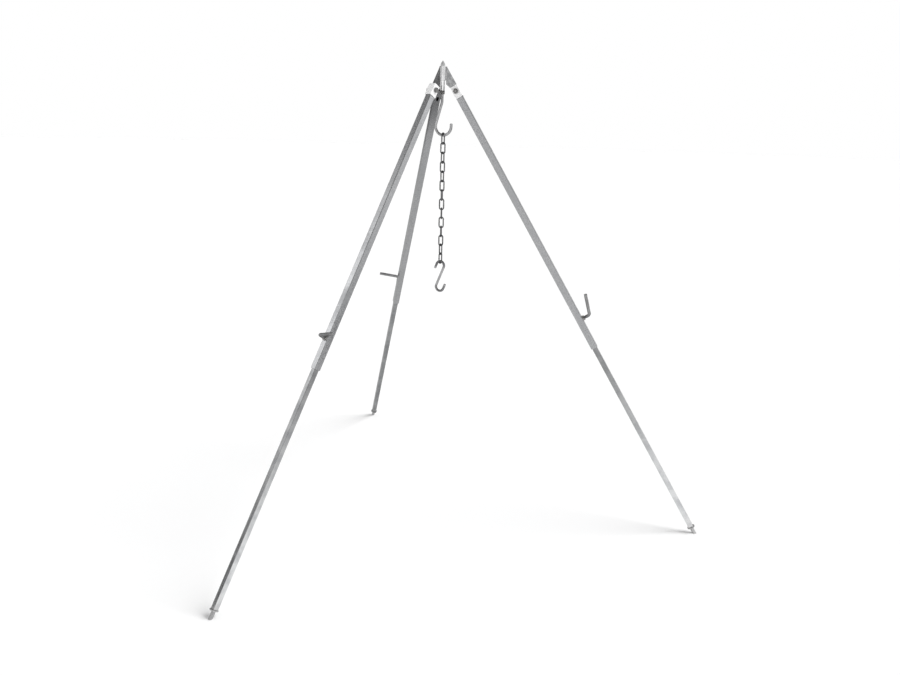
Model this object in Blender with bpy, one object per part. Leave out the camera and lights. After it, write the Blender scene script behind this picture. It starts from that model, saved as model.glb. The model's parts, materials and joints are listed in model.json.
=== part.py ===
# Telescopic cooking tripod with a hanging hook, a link chain and an S-hook.
#
# Units are metres, +Z is up, the feet stand on z = 0 and the origin is the
# centre of the tripod's footprint box.
#
# Every leg is described in its own leg frame, whose origin is the fold pivot:
#   x  outward, square to the tube's outer face
#   y  sideways (anticlockwise round the hub, seen from above)
#   z  up along the tube
# Stations along a leg are given as distances from the point where the three
# leg centre lines would meet on the hub axis ("crossing").

import math

import bmesh
import bpy
from mathutils import Matrix, Vector

# ----------------------------------------------------------------- dimensions
CROSSING_Z = 1.750            # height of the point where the leg lines meet
FOOT_RADIUS = 0.610 * CROSSING_Z   # where the leg lines meet the ground
LEG_AZIMUTH = {"back": 90.0, "left": 210.0, "right": 330.0}
TILT = math.atan2(FOOT_RADIUS, CROSSING_Z)      # leg angle from the vertical
LEG_LENGTH = math.hypot(FOOT_RADIUS, CROSSING_Z)

GAP = 0.0003                  # clearance between pieces that touch
RUN = 0.0003                  # radial clearance of a pin in its hole

# legs
UPPER_W = 0.0250              # square tube, outside
UPPER_WALL = 0.0020
UPPER_CORNER = 0.0030
LOWER_W = 0.0190
LOWER_WALL = 0.0015
LOWER_CORNER = 0.0022
PIVOT_S = 0.1010              # stations along the leg
TUBE_TOP_S = PIVOT_S - 0.0100
SLOT_S = 0.1250
SLOT_LEN, SLOT_W = 0.0175, 0.0095
UPPER_END_S = 0.5790 * LEG_LENGTH
CLAMP_S = {"left": UPPER_END_S - 0.1110, "right": UPPER_END_S - 0.1230,
           "back": UPPER_END_S - 0.1230}
LOWER_TOP_S = UPPER_END_S - 0.2200
WASHER_T = 0.0040
WASHER_R = 0.0150
STUB_R = 0.0070
STUB_CENTRE = 0.0270          # stub length on its axis, washer to ground
FOOT_WASHER_S = LEG_LENGTH - STUB_CENTRE - GAP - WASHER_T
LOWER_END_S = FOOT_WASHER_S - GAP

# head
HUB_R, HUB_BORE = 0.0120, 0.0091
HUB_TOP, HUB_BOTTOM = CROSSING_Z - 0.0005, CROSSING_Z - 0.0495
SLEEVE_R, SLEEVE_BORE = 0.0087, 0.0056
SLEEVE_TOP, SLEEVE_BOTTOM = CROSSING_Z + 0.0015, CROSSING_Z - 0.0850
PLATE_T = 0.0030
FIN_EDGE_R = HUB_R + 0.0014   # where the arm plates' upright edges start
FIN_END_S = 0.0856            # lower end of the arm plates, above the tube's top
BRACKET_T = 0.0020
BRACKET_TOP_S, BRACKET_END_S = 0.0815, 0.1264
BRACKET_FLARE = 0.0014
BOLT_R = 0.0049
HEX_AF = 0.0170               # across flats of the pivot bolts and nuts
HEAD_T, NUT_T = 0.0064, 0.0080

# clamp screws: turn of each handle about the screw, from up the leg
CLAMP_TURN = {"left": 82.0, "right": 0.0, "back": 88.0}
SCREW_R = 0.0060
SCREW_ARM = 0.0300            # outer tube face to the bend
HANDLE_LEN = 0.0825
HANDLE_FLARE = 16.0
CLAMP_NUT_AF, CLAMP_NUT_T = 0.0180, 0.0080

# hook, chain and S-hook
HOOK_R = 0.0050
HOOK_AZIMUTH = -45.4          # plane of the hook, about the hub axis
HOOK_BEND_R = 0.0320
HOOK_CENTRE_X = 0.0076
HOOK_BOTTOM_Z = 1.5080        # rod centre at the lowest point of the bowl
HOOK_SLANT = 17.0
HOOK_TIP_UP = 0.0100
LINK_WIRE = 0.0025
LINK_INNER_L = 0.0347
LINK_INNER_W = 0.0108
LINK_TURN = [36.0, -38.0, 35.0, -39.0, 34.0, -42.0, 57.6, -26.4,
             65.6, -20.4, 79.6, 5.6, 105.0, 32.0]
S_R = 0.0046
S_AZIMUTH = -46.0
S_BEND_R = 0.0162
S_SHANK = 0.0776
S_ARM = 0.0205
S_TILT = 23.0
S_SEAT = 0.0006               # clearance of the S-hook on the last link

STEEL = {
    "galvanised": ((0.60, 0.61, 0.62), 0.42, 1.0),
    "zinc": ((0.68, 0.69, 0.70), 0.33, 1.0),
    "weldment": ((0.50, 0.51, 0.52), 0.48, 1.0),
    "fastener": ((0.62, 0.61, 0.58), 0.30, 1.0),
}


# -------------------------------------------------------------------- helpers
def clear_scene():
    for obj in list(bpy.data.objects):
        bpy.data.objects.remove(obj, do_unlink=True)


def material(name, tone):
    colour, rough, metal = STEEL[tone]
    mat = bpy.data.materials.new(name)
    mat.use_nodes = True
    bsdf = mat.node_tree.nodes["Principled BSDF"]
    bsdf.inputs["Base Color"].default_value = (*colour, 1.0)
    bsdf.inputs["Roughness"].default_value = rough
    bsdf.inputs["Metallic"].default_value = metal
    return mat


def add_object(name, bm, parent, location=(0, 0, 0), tone="galvanised",
               smooth=None, rotation=None):
    bmesh.ops.recalc_face_normals(bm, faces=bm.faces[:])
    mesh = bpy.data.meshes.new(name)
    bm.to_mesh(mesh)
    bm.free()
    if smooth is not None:
        mesh.shade_smooth()
        mesh.set_sharp_from_angle(angle=math.radians(smooth))
    obj = bpy.data.objects.new(name, mesh)
    bpy.context.collection.objects.link(obj)
    obj.parent = parent
    obj.location = location
    if rotation is not None:
        obj.rotation_euler = rotation
    if tone is not None:
        mesh.materials.append(material(name, tone))
    return obj


def add_cutter(name, bm, parent, location=(0, 0, 0)):
    obj = add_object(name, bm, parent, location, tone=None)
    obj.hide_render = True
    obj.display_type = "WIRE"
    return obj


def cut(obj, cutter):
    mod = obj.modifiers.new("cut_" + cutter.name, "BOOLEAN")
    mod.operation = "DIFFERENCE"
    mod.solver = "EXACT"
    mod.object = cutter


def add_empty(name, parent, matrix):
    empty = bpy.data.objects.new(name, None)
    bpy.context.collection.objects.link(empty)
    empty.empty_display_size = 0.03
    empty.parent = parent
    empty.matrix_local = matrix
    return empty


def rounded_square(width, corner, steps):
    """Corner-rounded square outline in x, y, anticlockwise."""
    points = []
    half = width / 2 - corner
    for k, (sx, sy) in enumerate(((1, 1), (-1, 1), (-1, -1), (1, -1))):
        for i in range(steps + 1):
            a = math.radians(90 * k + 90 * i / steps)
            points.append((sx * half + corner * math.cos(a),
                           sy * half + corner * math.sin(a)))
    return points


def circle(radius, sides, phase=0.0):
    return [(radius * math.cos(2 * math.pi * (i + phase) / sides),
             radius * math.sin(2 * math.pi * (i + phase) / sides))
            for i in range(sides)]


def hexagon(across_flats):
    return circle(across_flats / math.sqrt(3), 6)


def prism(outline, low, high, inner=None, axis="z"):
    """Extrude an outline; with an inner outline of the same count, a tube."""
    def place(p, q, h):
        return {"z": (p, q, h), "y": (q, h, p), "x": (h, p, q)}[axis]
    bm = bmesh.new()
    rings = []
    for points in ([outline] if inner is None else [outline, inner]):
        rings.append([[bm.verts.new(place(p, q, h)) for p, q in points]
                      for h in (low, high)])
    for ring in rings:
        n = len(ring[0])
        for i in range(n):
            j = (i + 1) % n
            bm.faces.new((ring[0][i], ring[0][j], ring[1][j], ring[1][i]))
    if inner is None:
        bm.faces.new(rings[0][0])
        bm.faces.new(rings[0][1])
    else:
        n = len(outline)
        for end in (0, 1):
            for i in range(n):
                j = (i + 1) % n
                bm.faces.new((rings[0][end][i], rings[0][end][j],
                              rings[1][end][j], rings[1][end][i]))
    return bm


def sweep(points, radius, sides, closed=False):
    """Round bar along points that lie in one plane, with mitred rings."""
    pts = [Vector(p) for p in points]
    n = len(pts)
    normal = None
    for i in range(1, n - 1):
        c = (pts[i] - pts[i - 1]).cross(pts[i + 1] - pts[i])
        if c.length > 1e-9:
            normal = c.normalized()
            break
    bm = bmesh.new()
    rings = []
    for i in range(n):
        if closed:
            a, b = pts[i] - pts[i - 1], pts[(i + 1) % n] - pts[i]
        elif i == 0:
            a = b = pts[1] - pts[0]
        elif i == n - 1:
            a = b = pts[-1] - pts[-2]
        else:
            a, b = pts[i] - pts[i - 1], pts[i + 1] - pts[i]
        a, b = a.normalized(), b.normalized()
        tangent = (a + b).normalized()
        side = tangent.cross(normal).normalized()
        widen = 1.0 / max(0.5, tangent.dot(a))
        ring = []
        for k in range(sides):
            ang = 2 * math.pi * (k + 0.5) / sides
            ring.append(bm.verts.new(pts[i] + side * (radius * widen * math.cos(ang))
                                     + normal * (radius * math.sin(ang))))
        rings.append(ring)
    last = n if closed else n - 1
    for i in range(last):
        r0, r1 = rings[i], rings[(i + 1) % n]
        for k in range(sides):
            m = (k + 1) % sides
            bm.faces.new((r0[k], r0[m], r1[m], r1[k]))
    if not closed:
        bm.faces.new(rings[0])
        bm.faces.new(rings[-1])
    return bm


def arc(cx, cz, radius, start, end, steps):
    return [(cx + radius * math.cos(math.radians(start + (end - start) * i / steps)),
             cz + radius * math.sin(math.radians(start + (end - start) * i / steps)))
            for i in range(steps + 1)]


def fillet(a, b, c, radius, steps):
    """Points of a rounded corner at b between straight runs a-b and b-c."""
    a, b, c = Vector(a), Vector(b), Vector(c)
    u, v = (a - b).normalized(), (c - b).normalized()
    half = u.angle(v) / 2
    reach = radius / math.tan(half)
    centre = b + (u + v).normalized() * (radius / math.sin(half))
    p, q = b + u * reach - centre, b + v * reach - centre
    total = p.angle(q)
    out = []
    for i in range(steps + 1):
        t = i / steps
        out.append(centre + (p * math.sin((1 - t) * total) + q * math.sin(t * total))
                   / math.sin(total))
    return out


# ----------------------------------------------------------------------- head
def build_head(root):
    hub = prism(circle(HUB_R, 28), HUB_BOTTOM, HUB_TOP, circle(HUB_BORE, 28))
    add_object("hub_tube", hub, root, tone="weldment", smooth=40)
    sleeve = prism(circle(SLEEVE_R, 24), SLEEVE_BOTTOM, SLEEVE_TOP,
                   circle(SLEEVE_BORE, 24))
    add_object("hub_sleeve", sleeve, root, tone="zinc", smooth=40)


def leg_xz(station, outward):
    """Leg-frame x, z of a point given by its station and outward offset."""
    return outward, PIVOT_S - station


def radial_to_leg(radius, height):
    """Leg-frame x, z of a point of the leg's radial plane."""
    drop = CROSSING_Z - height
    station = radius * math.sin(TILT) + drop * math.cos(TILT)
    outward = radius * math.cos(TILT) - drop * math.sin(TILT)
    return leg_xz(station, outward)


def build_weld(which, empty):
    """Upright weld: a saddle on the hub tube with a fillet along each side of
    the plate."""
    seat = HUB_R + GAP
    near = PLATE_T / 2 + GAP
    edge = FIN_EDGE_R - GAP
    section = [(seat * math.cos(math.radians(a)), seat * math.sin(math.radians(a)))
               for a in (-20, -10, 0, 10, 20)]
    section += [(0.0137, 0.0036), (0.0160, near), (edge, near), (edge, -near),
                (0.0160, -near), (0.0137, -0.0036)]
    bm = bmesh.new()
    rings = []
    for height in (CROSSING_Z - 0.0020, CROSSING_Z - 0.0480):
        ring = []
        for radius, y in section:
            x, z = radial_to_leg(radius, height)
            ring.append(bm.verts.new((x, y, z)))
        rings.append(ring)
    for i in range(len(section)):
        j = (i + 1) % len(section)
        bm.faces.new((rings[0][i], rings[0][j], rings[1][j], rings[1][i]))
    bm.faces.new(rings[0])
    bm.faces.new(rings[1])
    add_object("arm_weld_" + which, bm, empty, tone="weldment", smooth=40)


def build_arm(which, empty):
    half = UPPER_W / 2
    inside = half + GAP                      # inner faces of the cheeks
    outside = inside + BRACKET_T
    back = half + GAP
    back_out = back + BRACKET_T

    # flat arm plate in the leg's centre plane, welded to the hub along its
    # upright edge and to the bracket's back along its outer edge
    outline = [
        radial_to_leg(FIN_EDGE_R, CROSSING_Z - 0.0015),
        radial_to_leg(0.0147, CROSSING_Z - 0.0015),
        leg_xz(BRACKET_TOP_S, back - GAP),
        leg_xz(FIN_END_S, back - GAP),
        leg_xz(FIN_END_S, -half),
        radial_to_leg(FIN_EDGE_R + 0.0004, CROSSING_Z - 0.0625),
        radial_to_leg(FIN_EDGE_R, CROSSING_Z - 0.0590),
    ]
    plate = prism([(z, x) for x, z in outline], -PLATE_T / 2, PLATE_T / 2, axis="y")
    add_object("arm_plate_" + which, plate, empty, tone="weldment")
    build_weld(which, empty)

    # folded U bracket: two cheeks and a back, open towards the hub axis
    top_z, end_z = PIVOT_S - BRACKET_TOP_S, PIVOT_S - BRACKET_END_S
    fold = 0.0012
    section = [
        (-half, inside), (back, inside), (back, -inside),
        (-half, -inside), (-half, -outside),
        (back_out - fold, -outside), (back_out, -outside + fold),
        (back_out, outside - fold), (back_out - fold, outside),
        (-half, outside),
    ]
    bm = bmesh.new()
    levels = [(top_z, 0.0), (end_z + 0.0120, 0.0), (end_z, BRACKET_FLARE)]
    rings = []
    for z, flare in levels:
        rings.append([bm.verts.new((x + (flare if x > 0 else 0.0), y, z))
                      for x, y in section])
    for lower, upper in zip(rings[1:], rings[:-1]):
        for i in range(len(section)):
            j = (i + 1) % len(section)
            bm.faces.new((lower[i], lower[j], upper[j], upper[i]))
    bm.faces.new(rings[0])
    bm.faces.new(rings[-1])
    bracket = add_object("pivot_bracket_" + which, bm, empty, tone="zinc")

    # hex bolt through bracket and tube, head on the +y side
    head_in = outside + GAP
    bolt = stepped_bolt(prism(circle(BOLT_R, 24), -head_in - NUT_T - 0.0021,
                              head_in, axis="y"), head_in)
    add_object("pivot_bolt_" + which, bolt, empty, tone="fastener", smooth=35)

    nut = prism(hexagon(HEX_AF), -head_in - NUT_T, -head_in, axis="y")
    nut_obj = add_object("pivot_nut_" + which, nut, empty, tone="fastener")

    bore = prism(circle(BOLT_R + RUN, 24), -0.06, 0.06, axis="y")
    bore_obj = add_cutter("bolt_bore_" + which, bore, empty)
    for obj in (bracket, nut_obj):
        cut(obj, bore_obj)
    return bore_obj


def stepped_bolt(shank, head_in):
    """Joins a hexagonal head to a shank that runs along y."""
    top = max(v.co.y for v in shank.verts)
    cap = [f for f in shank.faces if all(abs(v.co.y - top) < 1e-9 for v in f.verts)]
    rim = sorted(cap[0].verts, key=lambda v: math.atan2(v.co.x, v.co.z))
    bmesh.ops.delete(shank, geom=cap, context="FACES_ONLY")
    hexa = hexagon(HEX_AF)
    low = [shank.verts.new((q, head_in, p)) for p, q in hexa]
    high = [shank.verts.new((q, head_in + HEAD_T - 0.0010, p)) for p, q in hexa]
    crown = [shank.verts.new((q * 0.9, head_in + HEAD_T, p * 0.9)) for p, q in hexa]
    for ring_a, ring_b in ((low, high), (high, crown)):
        for i in range(6):
            j = (i + 1) % 6
            shank.faces.new((ring_a[i], ring_a[j], ring_b[j], ring_b[i]))
    shank.faces.new(crown)
    # underside: the annulus between hexagon and shank, a quarter of the rim
    # to each hexagon side
    per = len(rim) // 6
    rim = sorted(rim, key=lambda v: math.atan2(v.co.x, v.co.z) % (2 * math.pi))
    low_sorted = sorted(low, key=lambda v: math.atan2(v.co.x, v.co.z) % (2 * math.pi))
    for i in range(6):
        a, b = low_sorted[i], low_sorted[(i + 1) % 6]
        run = [rim[(i * per + k) % len(rim)] for k in range(per + 1)]
        for k in range(per):
            if k < per // 2:
                shank.faces.new((a, run[k], run[k + 1]))
            else:
                shank.faces.new((b, run[k], run[k + 1]))
        shank.faces.new((a, run[per // 2], b))
    return shank


# ----------------------------------------------------------------------- legs
def build_leg(which, leg, bore):
    half = UPPER_W / 2
    top = PIVOT_S - TUBE_TOP_S
    end = PIVOT_S - UPPER_END_S
    tube = prism(rounded_square(UPPER_W, UPPER_CORNER, 3), end, top,
                 rounded_square(UPPER_W - 2 * UPPER_WALL,
                                UPPER_CORNER - UPPER_WALL, 3))
    tube_obj = add_object("upper_tube_" + which, tube, leg, smooth=30)
    cut(tube_obj, bore)

    # outer top corner cut round about the pivot, so that the leg can fold
    reach = half + 0.0001
    rim = [(reach * math.cos(math.radians(a)), reach * math.sin(math.radians(a)))
           for a in (10, 19, 28)]
    run_z = top + 0.004
    far_x = (reach - run_z * math.sin(math.radians(28))) / math.cos(math.radians(28))
    outline = [(half + 0.004, rim[0][1])] + rim + [(far_x, run_z),
                                                   (half + 0.004, run_z)]
    trim = prism([(z, x) for x, z in outline], -0.03, 0.03, axis="y")
    cut(tube_obj, add_cutter("fold_trim_" + which, trim, leg))

    # elongated slot in the inner face, just below the bracket
    slot = []
    straight = (SLOT_LEN - SLOT_W) / 2
    for k, sign in ((0, 1), (1, -1)):
        for i in range(7):
            a = math.radians(-90 + 180 * k + 30 * i)
            slot.append((SLOT_W / 2 * math.sin(a), sign * straight + SLOT_W / 2 * math.cos(a)))
    slot_z = PIVOT_S - SLOT_S
    cutter = prism([(y, z + slot_z) for y, z in slot], -0.03, -0.004, axis="x")
    cut(tube_obj, add_cutter("slot_cutter_" + which, cutter, leg))

    # weld nut and its hole for the clamp screw
    clamp_z = PIVOT_S - CLAMP_S[which]
    hole = prism(circle(SCREW_R + RUN, 20), 0.002, 0.05, axis="x")
    hole_obj = add_cutter("clamp_bore_" + which, hole, leg, (0, 0, clamp_z))
    cut(tube_obj, hole_obj)
    nut = prism(hexagon(CLAMP_NUT_AF), half + GAP, half + GAP + CLAMP_NUT_T, axis="x")
    nut_obj = add_object("clamp_nut_" + which, nut, leg, (0, 0, clamp_z),
                         tone="fastener")
    cut(nut_obj, hole_obj)

    # bent clamp screw, turning about its own axis
    tip_x = LOWER_W / 2 + GAP
    bend_x = half + SCREW_ARM
    turn = math.radians(CLAMP_TURN[which])
    flare = math.radians(HANDLE_FLARE)
    out = Vector((1, 0, 0))
    along = (Vector((0, math.sin(turn), math.cos(turn))) * math.cos(flare)
             + out * math.sin(flare))
    corner = Vector((bend_x, 0, 0))
    path = [Vector((tip_x, 0, 0)), Vector((half, 0, 0)), Vector((bend_x - 0.012, 0, 0))]
    path += fillet(path[0], corner, corner + along, 0.0095, 6)
    path += [corner + along * HANDLE_LEN]
    screw = sweep(path, SCREW_R, 12)
    add_object("clamp_screw_" + which, screw, leg, (0, 0, clamp_z), tone="zinc",
               smooth=40)

    # sliding lower tube, its foot flange and the ground stub
    slide = add_empty("slide_" + which, leg,
                      Matrix.Translation((0, 0, PIVOT_S - LOWER_TOP_S)))
    length = LOWER_END_S - LOWER_TOP_S
    lower = prism(rounded_square(LOWER_W, LOWER_CORNER, 3), -length, 0,
                  rounded_square(LOWER_W - 2 * LOWER_WALL,
                                 LOWER_CORNER - LOWER_WALL, 3))
    add_object("lower_tube_" + which, lower, slide, tone="zinc", smooth=30)
    flange = prism(circle(WASHER_R, 28), -length - GAP - WASHER_T, -length - GAP)
    add_object("foot_flange_" + which, flange, slide, tone="zinc", smooth=40)

    # the stub is a round bar cut level with the ground
    top_z = -length - GAP - WASHER_T - GAP
    bm = bmesh.new()
    upper_ring, ground_ring = [], []
    for x, y in circle(STUB_R, 20):
        upper_ring.append(bm.verts.new((x, y, top_z)))
        # the ground plane in leg coordinates: the outward side is the longer
        ground_ring.append(bm.verts.new(
            (x, y, LOWER_TOP_S - LEG_LENGTH - x * math.tan(TILT))))
    for i in range(20):
        j = (i + 1) % 20
        bm.faces.new((upper_ring[i], upper_ring[j], ground_ring[j], ground_ring[i]))
    bm.faces.new(upper_ring)
    bm.faces.new(ground_ring)
    add_object("foot_stub_" + which, bm, slide, tone="zinc", smooth=40)


# ---------------------------------------------------------- hook, chain, S-hook
def build_hook(root):
    swivel = add_empty("hook_swivel", root,
                       Matrix.Rotation(math.radians(HOOK_AZIMUTH), 4, "Z"))
    cx, cz = HOOK_CENTRE_X, HOOK_BOTTOM_Z + HOOK_BEND_R
    bowl = (arc(cx, cz, HOOK_BEND_R, 180 - HOOK_SLANT, 270, 8)[:-1]
            + arc(cx, cz, HOOK_BEND_R, 270, 360, 7))
    start_x, start_z = bowl[0]
    slant = math.radians(HOOK_SLANT)
    bend_z = start_z - start_x / math.tan(slant)
    shank_top = SLEEVE_TOP - 0.0010
    path = [Vector((0, 0, shank_top)), Vector((0, 0, (shank_top + bend_z) / 2))]
    path += fillet(path[0], (0, 0, bend_z), (start_x, 0, start_z), 0.020, 3)
    path += [Vector((x, 0, z)) for x, z in bowl]
    path += [Vector((cx + HOOK_BEND_R, 0, cz + HOOK_TIP_UP))]
    hook = sweep(path, HOOK_R, 14)
    add_object("hanging_hook", hook, swivel, tone="zinc", smooth=40)

    # pointed cap nut on the shank's top end
    bm = bmesh.new()
    base = SLEEVE_TOP + GAP
    levels = [(0.0, 1.0), (0.0050, 1.0), (0.0085, 0.80), (0.0130, 0.46),
              (0.0168, 0.16)]
    rings = [[bm.verts.new((x * k, y * k, base + z)) for x, y in hexagon(0.0160)]
             for z, k in levels]
    for a, b in zip(rings[:-1], rings[1:]):
        for i in range(6):
            j = (i + 1) % 6
            bm.faces.new((a[i], a[j], b[j], b[i]))
    bm.faces.new(rings[0])
    bm.faces.new(rings[-1])
    add_object("cap_nut", bm, swivel, tone="fastener")

    # washer and hex nut that hold the shank under the sleeve
    washer_top = SLEEVE_BOTTOM - GAP
    washer = prism(circle(0.0095, 24), washer_top - 0.0020, washer_top,
                   circle(HOOK_R + RUN, 24))
    add_object("swivel_washer", washer, swivel, tone="fastener", smooth=40)
    nut_top = washer_top - 0.0020 - GAP
    nut = prism(hexagon(0.0170), nut_top - 0.0100, nut_top)
    nut_obj = add_object("swivel_nut", nut, swivel, tone="fastener")
    bore = prism(circle(HOOK_R + RUN, 24), nut_top - 0.02, nut_top + 0.01)
    cut(nut_obj, add_cutter("swivel_bore", bore, swivel))
    return swivel


def build_chain(root):
    """Links hang straight down from the bowl's lowest point."""
    turn = math.radians(HOOK_AZIMUTH)
    x0, y0 = HOOK_CENTRE_X * math.cos(turn), HOOK_CENTRE_X * math.sin(turn)
    crown_r = LINK_INNER_W / 2 + LINK_WIRE
    crowns = LINK_INNER_L + 2 * LINK_WIRE        # top crown to bottom crown
    top = HOOK_BOTTOM_Z + HOOK_R + GAP + LINK_WIRE
    hang_z = HOOK_BOTTOM_Z
    for number, yaw in enumerate(LINK_TURN, 1):
        pivot = add_empty("link_pivot_%02d" % number, root,
                          Matrix.Translation((x0, y0, hang_z))
                          @ Matrix.Rotation(math.radians(yaw), 4, "Z"))
        rise = top - hang_z
        upper = arc(0, rise - crown_r, crown_r, 0, 180, 8)
        lower = arc(0, rise - crowns + crown_r, crown_r, 180, 360, 8)
        path = [Vector((x, 0, z)) for x, z in upper + lower]
        link = sweep(path, LINK_WIRE, 8, closed=True)
        add_object("chain_link_%02d" % number, link, pivot, tone="zinc", smooth=60)
        hang_z = top - crowns
        top = hang_z + 2 * LINK_WIRE + GAP
    return x0, y0, hang_z


def s_hook_path():
    """Centre line of the S-hook in its own plane, shank first upright."""
    half = S_SHANK / 2
    up = arc(-S_BEND_R, half, S_BEND_R, 0, 180, 14)
    upper = up + [(-2 * S_BEND_R, half - S_ARM)]
    lower = [(-x, -z) for x, z in reversed(upper)]
    path = [Vector((x, 0, z)) for x, z in lower + upper]
    lean = Matrix.Rotation(math.radians(S_TILT), 3, "Y")
    return [lean @ p for p in path], lean @ Vector((-S_BEND_R, 0, half))


def build_s_hook(root, x0, y0, hang_z):
    path, bend_centre = s_hook_path()
    length = sum((b - a).length for a, b in zip(path, path[1:]))
    balance = Vector((0, 0, 0))
    for a, b in zip(path, path[1:]):
        balance += (a + b) / 2 * ((b - a).length / length)
    # the link's wire rides inside the bend, straight above the balance point
    ride = S_BEND_R - S_R - S_SEAT - LINK_WIRE
    shift = bend_centre.x - balance.x
    height = math.sqrt(max(0.0, ride * ride - shift * shift))
    hang = Vector((balance.x, 0, bend_centre.z + height))
    pivot = add_empty("s_hook_pivot", root,
                      Matrix.Translation((x0, y0, hang_z))
                      @ Matrix.Rotation(math.radians(S_AZIMUTH), 4, "Z"))
    bm = sweep([p - hang for p in path], S_R, 12)
    add_object("s_hook", bm, pivot, tone="zinc", smooth=40)


# ---------------------------------------------------------------------- build
def leg_matrix(which):
    pivot_r = PIVOT_S * math.sin(TILT)
    pivot_z = CROSSING_Z - PIVOT_S * math.cos(TILT)
    azimuth = math.radians(LEG_AZIMUTH[which])
    return (Matrix.Rotation(azimuth, 4, "Z")
            @ Matrix.Translation((pivot_r, 0, pivot_z))
            @ Matrix.Rotation(-TILT, 4, "Y"))


def footprint_centre():
    """Middle of the box round everything, in x and y."""
    bpy.context.view_layer.update()
    lows, highs = [1e9, 1e9], [-1e9, -1e9]
    for obj in bpy.data.objects:
        if obj.type != "MESH" or obj.hide_render:
            continue
        for vert in obj.data.vertices:
            world = obj.matrix_world @ vert.co
            for k in (0, 1):
                lows[k] = min(lows[k], world[k])
                highs[k] = max(highs[k], world[k])
    return (lows[0] + highs[0]) / 2, (lows[1] + highs[1]) / 2


def main():
    clear_scene()
    root = add_empty("tripod", None, Matrix.Identity(4))
    build_head(root)
    for which in ("left", "right", "back"):
        leg = add_empty("leg_pivot_" + which, root, leg_matrix(which))
        bore = build_arm(which, leg)
        build_leg(which, leg, bore)
    build_hook(root)
    x0, y0, hang_z = build_chain(root)
    build_s_hook(root, x0, y0, hang_z)
    cx, cy = footprint_centre()
    root.location = (-cx, -cy, 0.0)
    bpy.context.view_layer.update()


main()
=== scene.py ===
import json
import math

import bmesh
import bpy
from mathutils import Matrix, Vector


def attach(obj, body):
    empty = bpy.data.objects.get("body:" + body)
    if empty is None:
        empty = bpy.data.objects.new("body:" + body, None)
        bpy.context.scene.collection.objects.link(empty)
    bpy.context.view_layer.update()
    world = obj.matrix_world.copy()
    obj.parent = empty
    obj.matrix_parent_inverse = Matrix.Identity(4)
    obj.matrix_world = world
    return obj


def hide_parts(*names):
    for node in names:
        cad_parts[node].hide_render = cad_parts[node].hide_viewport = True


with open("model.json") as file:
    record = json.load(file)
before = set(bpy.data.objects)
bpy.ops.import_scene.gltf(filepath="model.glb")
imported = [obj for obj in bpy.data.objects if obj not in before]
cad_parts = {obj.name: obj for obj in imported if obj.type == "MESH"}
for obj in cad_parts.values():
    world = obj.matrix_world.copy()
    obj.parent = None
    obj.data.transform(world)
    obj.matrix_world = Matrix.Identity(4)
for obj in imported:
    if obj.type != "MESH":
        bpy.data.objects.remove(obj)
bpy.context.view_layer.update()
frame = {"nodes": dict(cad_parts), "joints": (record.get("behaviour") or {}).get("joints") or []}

JOINT = {j["name"]: j for j in frame["joints"]}
SIDES = ("left", "right", "back")

# ----------------------------------------------------------------- dimensions
# The same values as the CAD source, in metres.
GAP = 0.0003
UPPER_W, UPPER_WALL, UPPER_CORNER = 0.0250, 0.0020, 0.0030
LOWER_W, LOWER_WALL, LOWER_CORNER = 0.0190, 0.0015, 0.0022
CROSSING_Z = 1.750
TILT = math.atan2(0.610 * CROSSING_Z, CROSSING_Z)
LEG_LENGTH = math.hypot(0.610 * CROSSING_Z, CROSSING_Z)
PIVOT_S = 0.1010
TUBE_TOP_S = PIVOT_S - 0.0100
SLOT_S, SLOT_LEN, SLOT_W = 0.1250, 0.0175, 0.0095
UPPER_END_S = 0.5790 * LEG_LENGTH
CLAMP_S = {"left": UPPER_END_S - 0.1110, "right": UPPER_END_S - 0.1230,
           "back": UPPER_END_S - 0.1230}
LOWER_TOP_S = UPPER_END_S - 0.2200
WASHER_T, WASHER_R, STUB_R, STUB_CENTRE = 0.0040, 0.0150, 0.0070, 0.0270
FOOT_WASHER_S = LEG_LENGTH - STUB_CENTRE - GAP - WASHER_T
LOWER_END_S = FOOT_WASHER_S - GAP
HUB_R, HUB_BORE = 0.0120, 0.0091
HUB_TOP, HUB_BOTTOM = CROSSING_Z - 0.0005, CROSSING_Z - 0.0495
SLEEVE_R, SLEEVE_BORE = 0.0087, 0.0056
SLEEVE_TOP, SLEEVE_BOTTOM = CROSSING_Z + 0.0015, CROSSING_Z - 0.0850
PLATE_T, BRACKET_T = 0.0030, 0.0020
FIN_EDGE_R = HUB_R + 0.0014
FIN_END_S, BRACKET_TOP_S = 0.0856, 0.0815
BOLT_R, HEX_AF, HEAD_T, NUT_T = 0.0049, 0.0170, 0.0064, 0.0080
CLAMP_TURN = {"left": 82.0, "right": 0.0, "back": 88.0}
SCREW_R, SCREW_ARM, HANDLE_LEN, HANDLE_FLARE = 0.0060, 0.0300, 0.0825, 16.0
CLAMP_NUT_AF, CLAMP_NUT_T = 0.0180, 0.0080
HOOK_R, HOOK_AZIMUTH, HOOK_BEND_R = 0.0050, -45.4, 0.0320
HOOK_CENTRE_X, HOOK_BOTTOM_Z, HOOK_SLANT, HOOK_TIP_UP = 0.0076, 1.5080, 17.0, 0.0100
LINK_WIRE, LINK_INNER_L, LINK_INNER_W = 0.0025, 0.0347, 0.0108
LINK_TURN = [36.0, -38.0, 35.0, -39.0, 34.0, -42.0, 57.6, -26.4,
             65.6, -20.4, 79.6, 5.6, 105.0, 32.0]
S_R, S_AZIMUTH, S_BEND_R, S_SHANK, S_ARM, S_TILT, S_SEAT = (
    0.0046, -46.0, 0.0162, 0.0776, 0.0205, 23.0, 0.0006)

HUB = Vector(JOINT["hook_swivel"]["pos_m"])
HUB.z = 0.0


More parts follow.
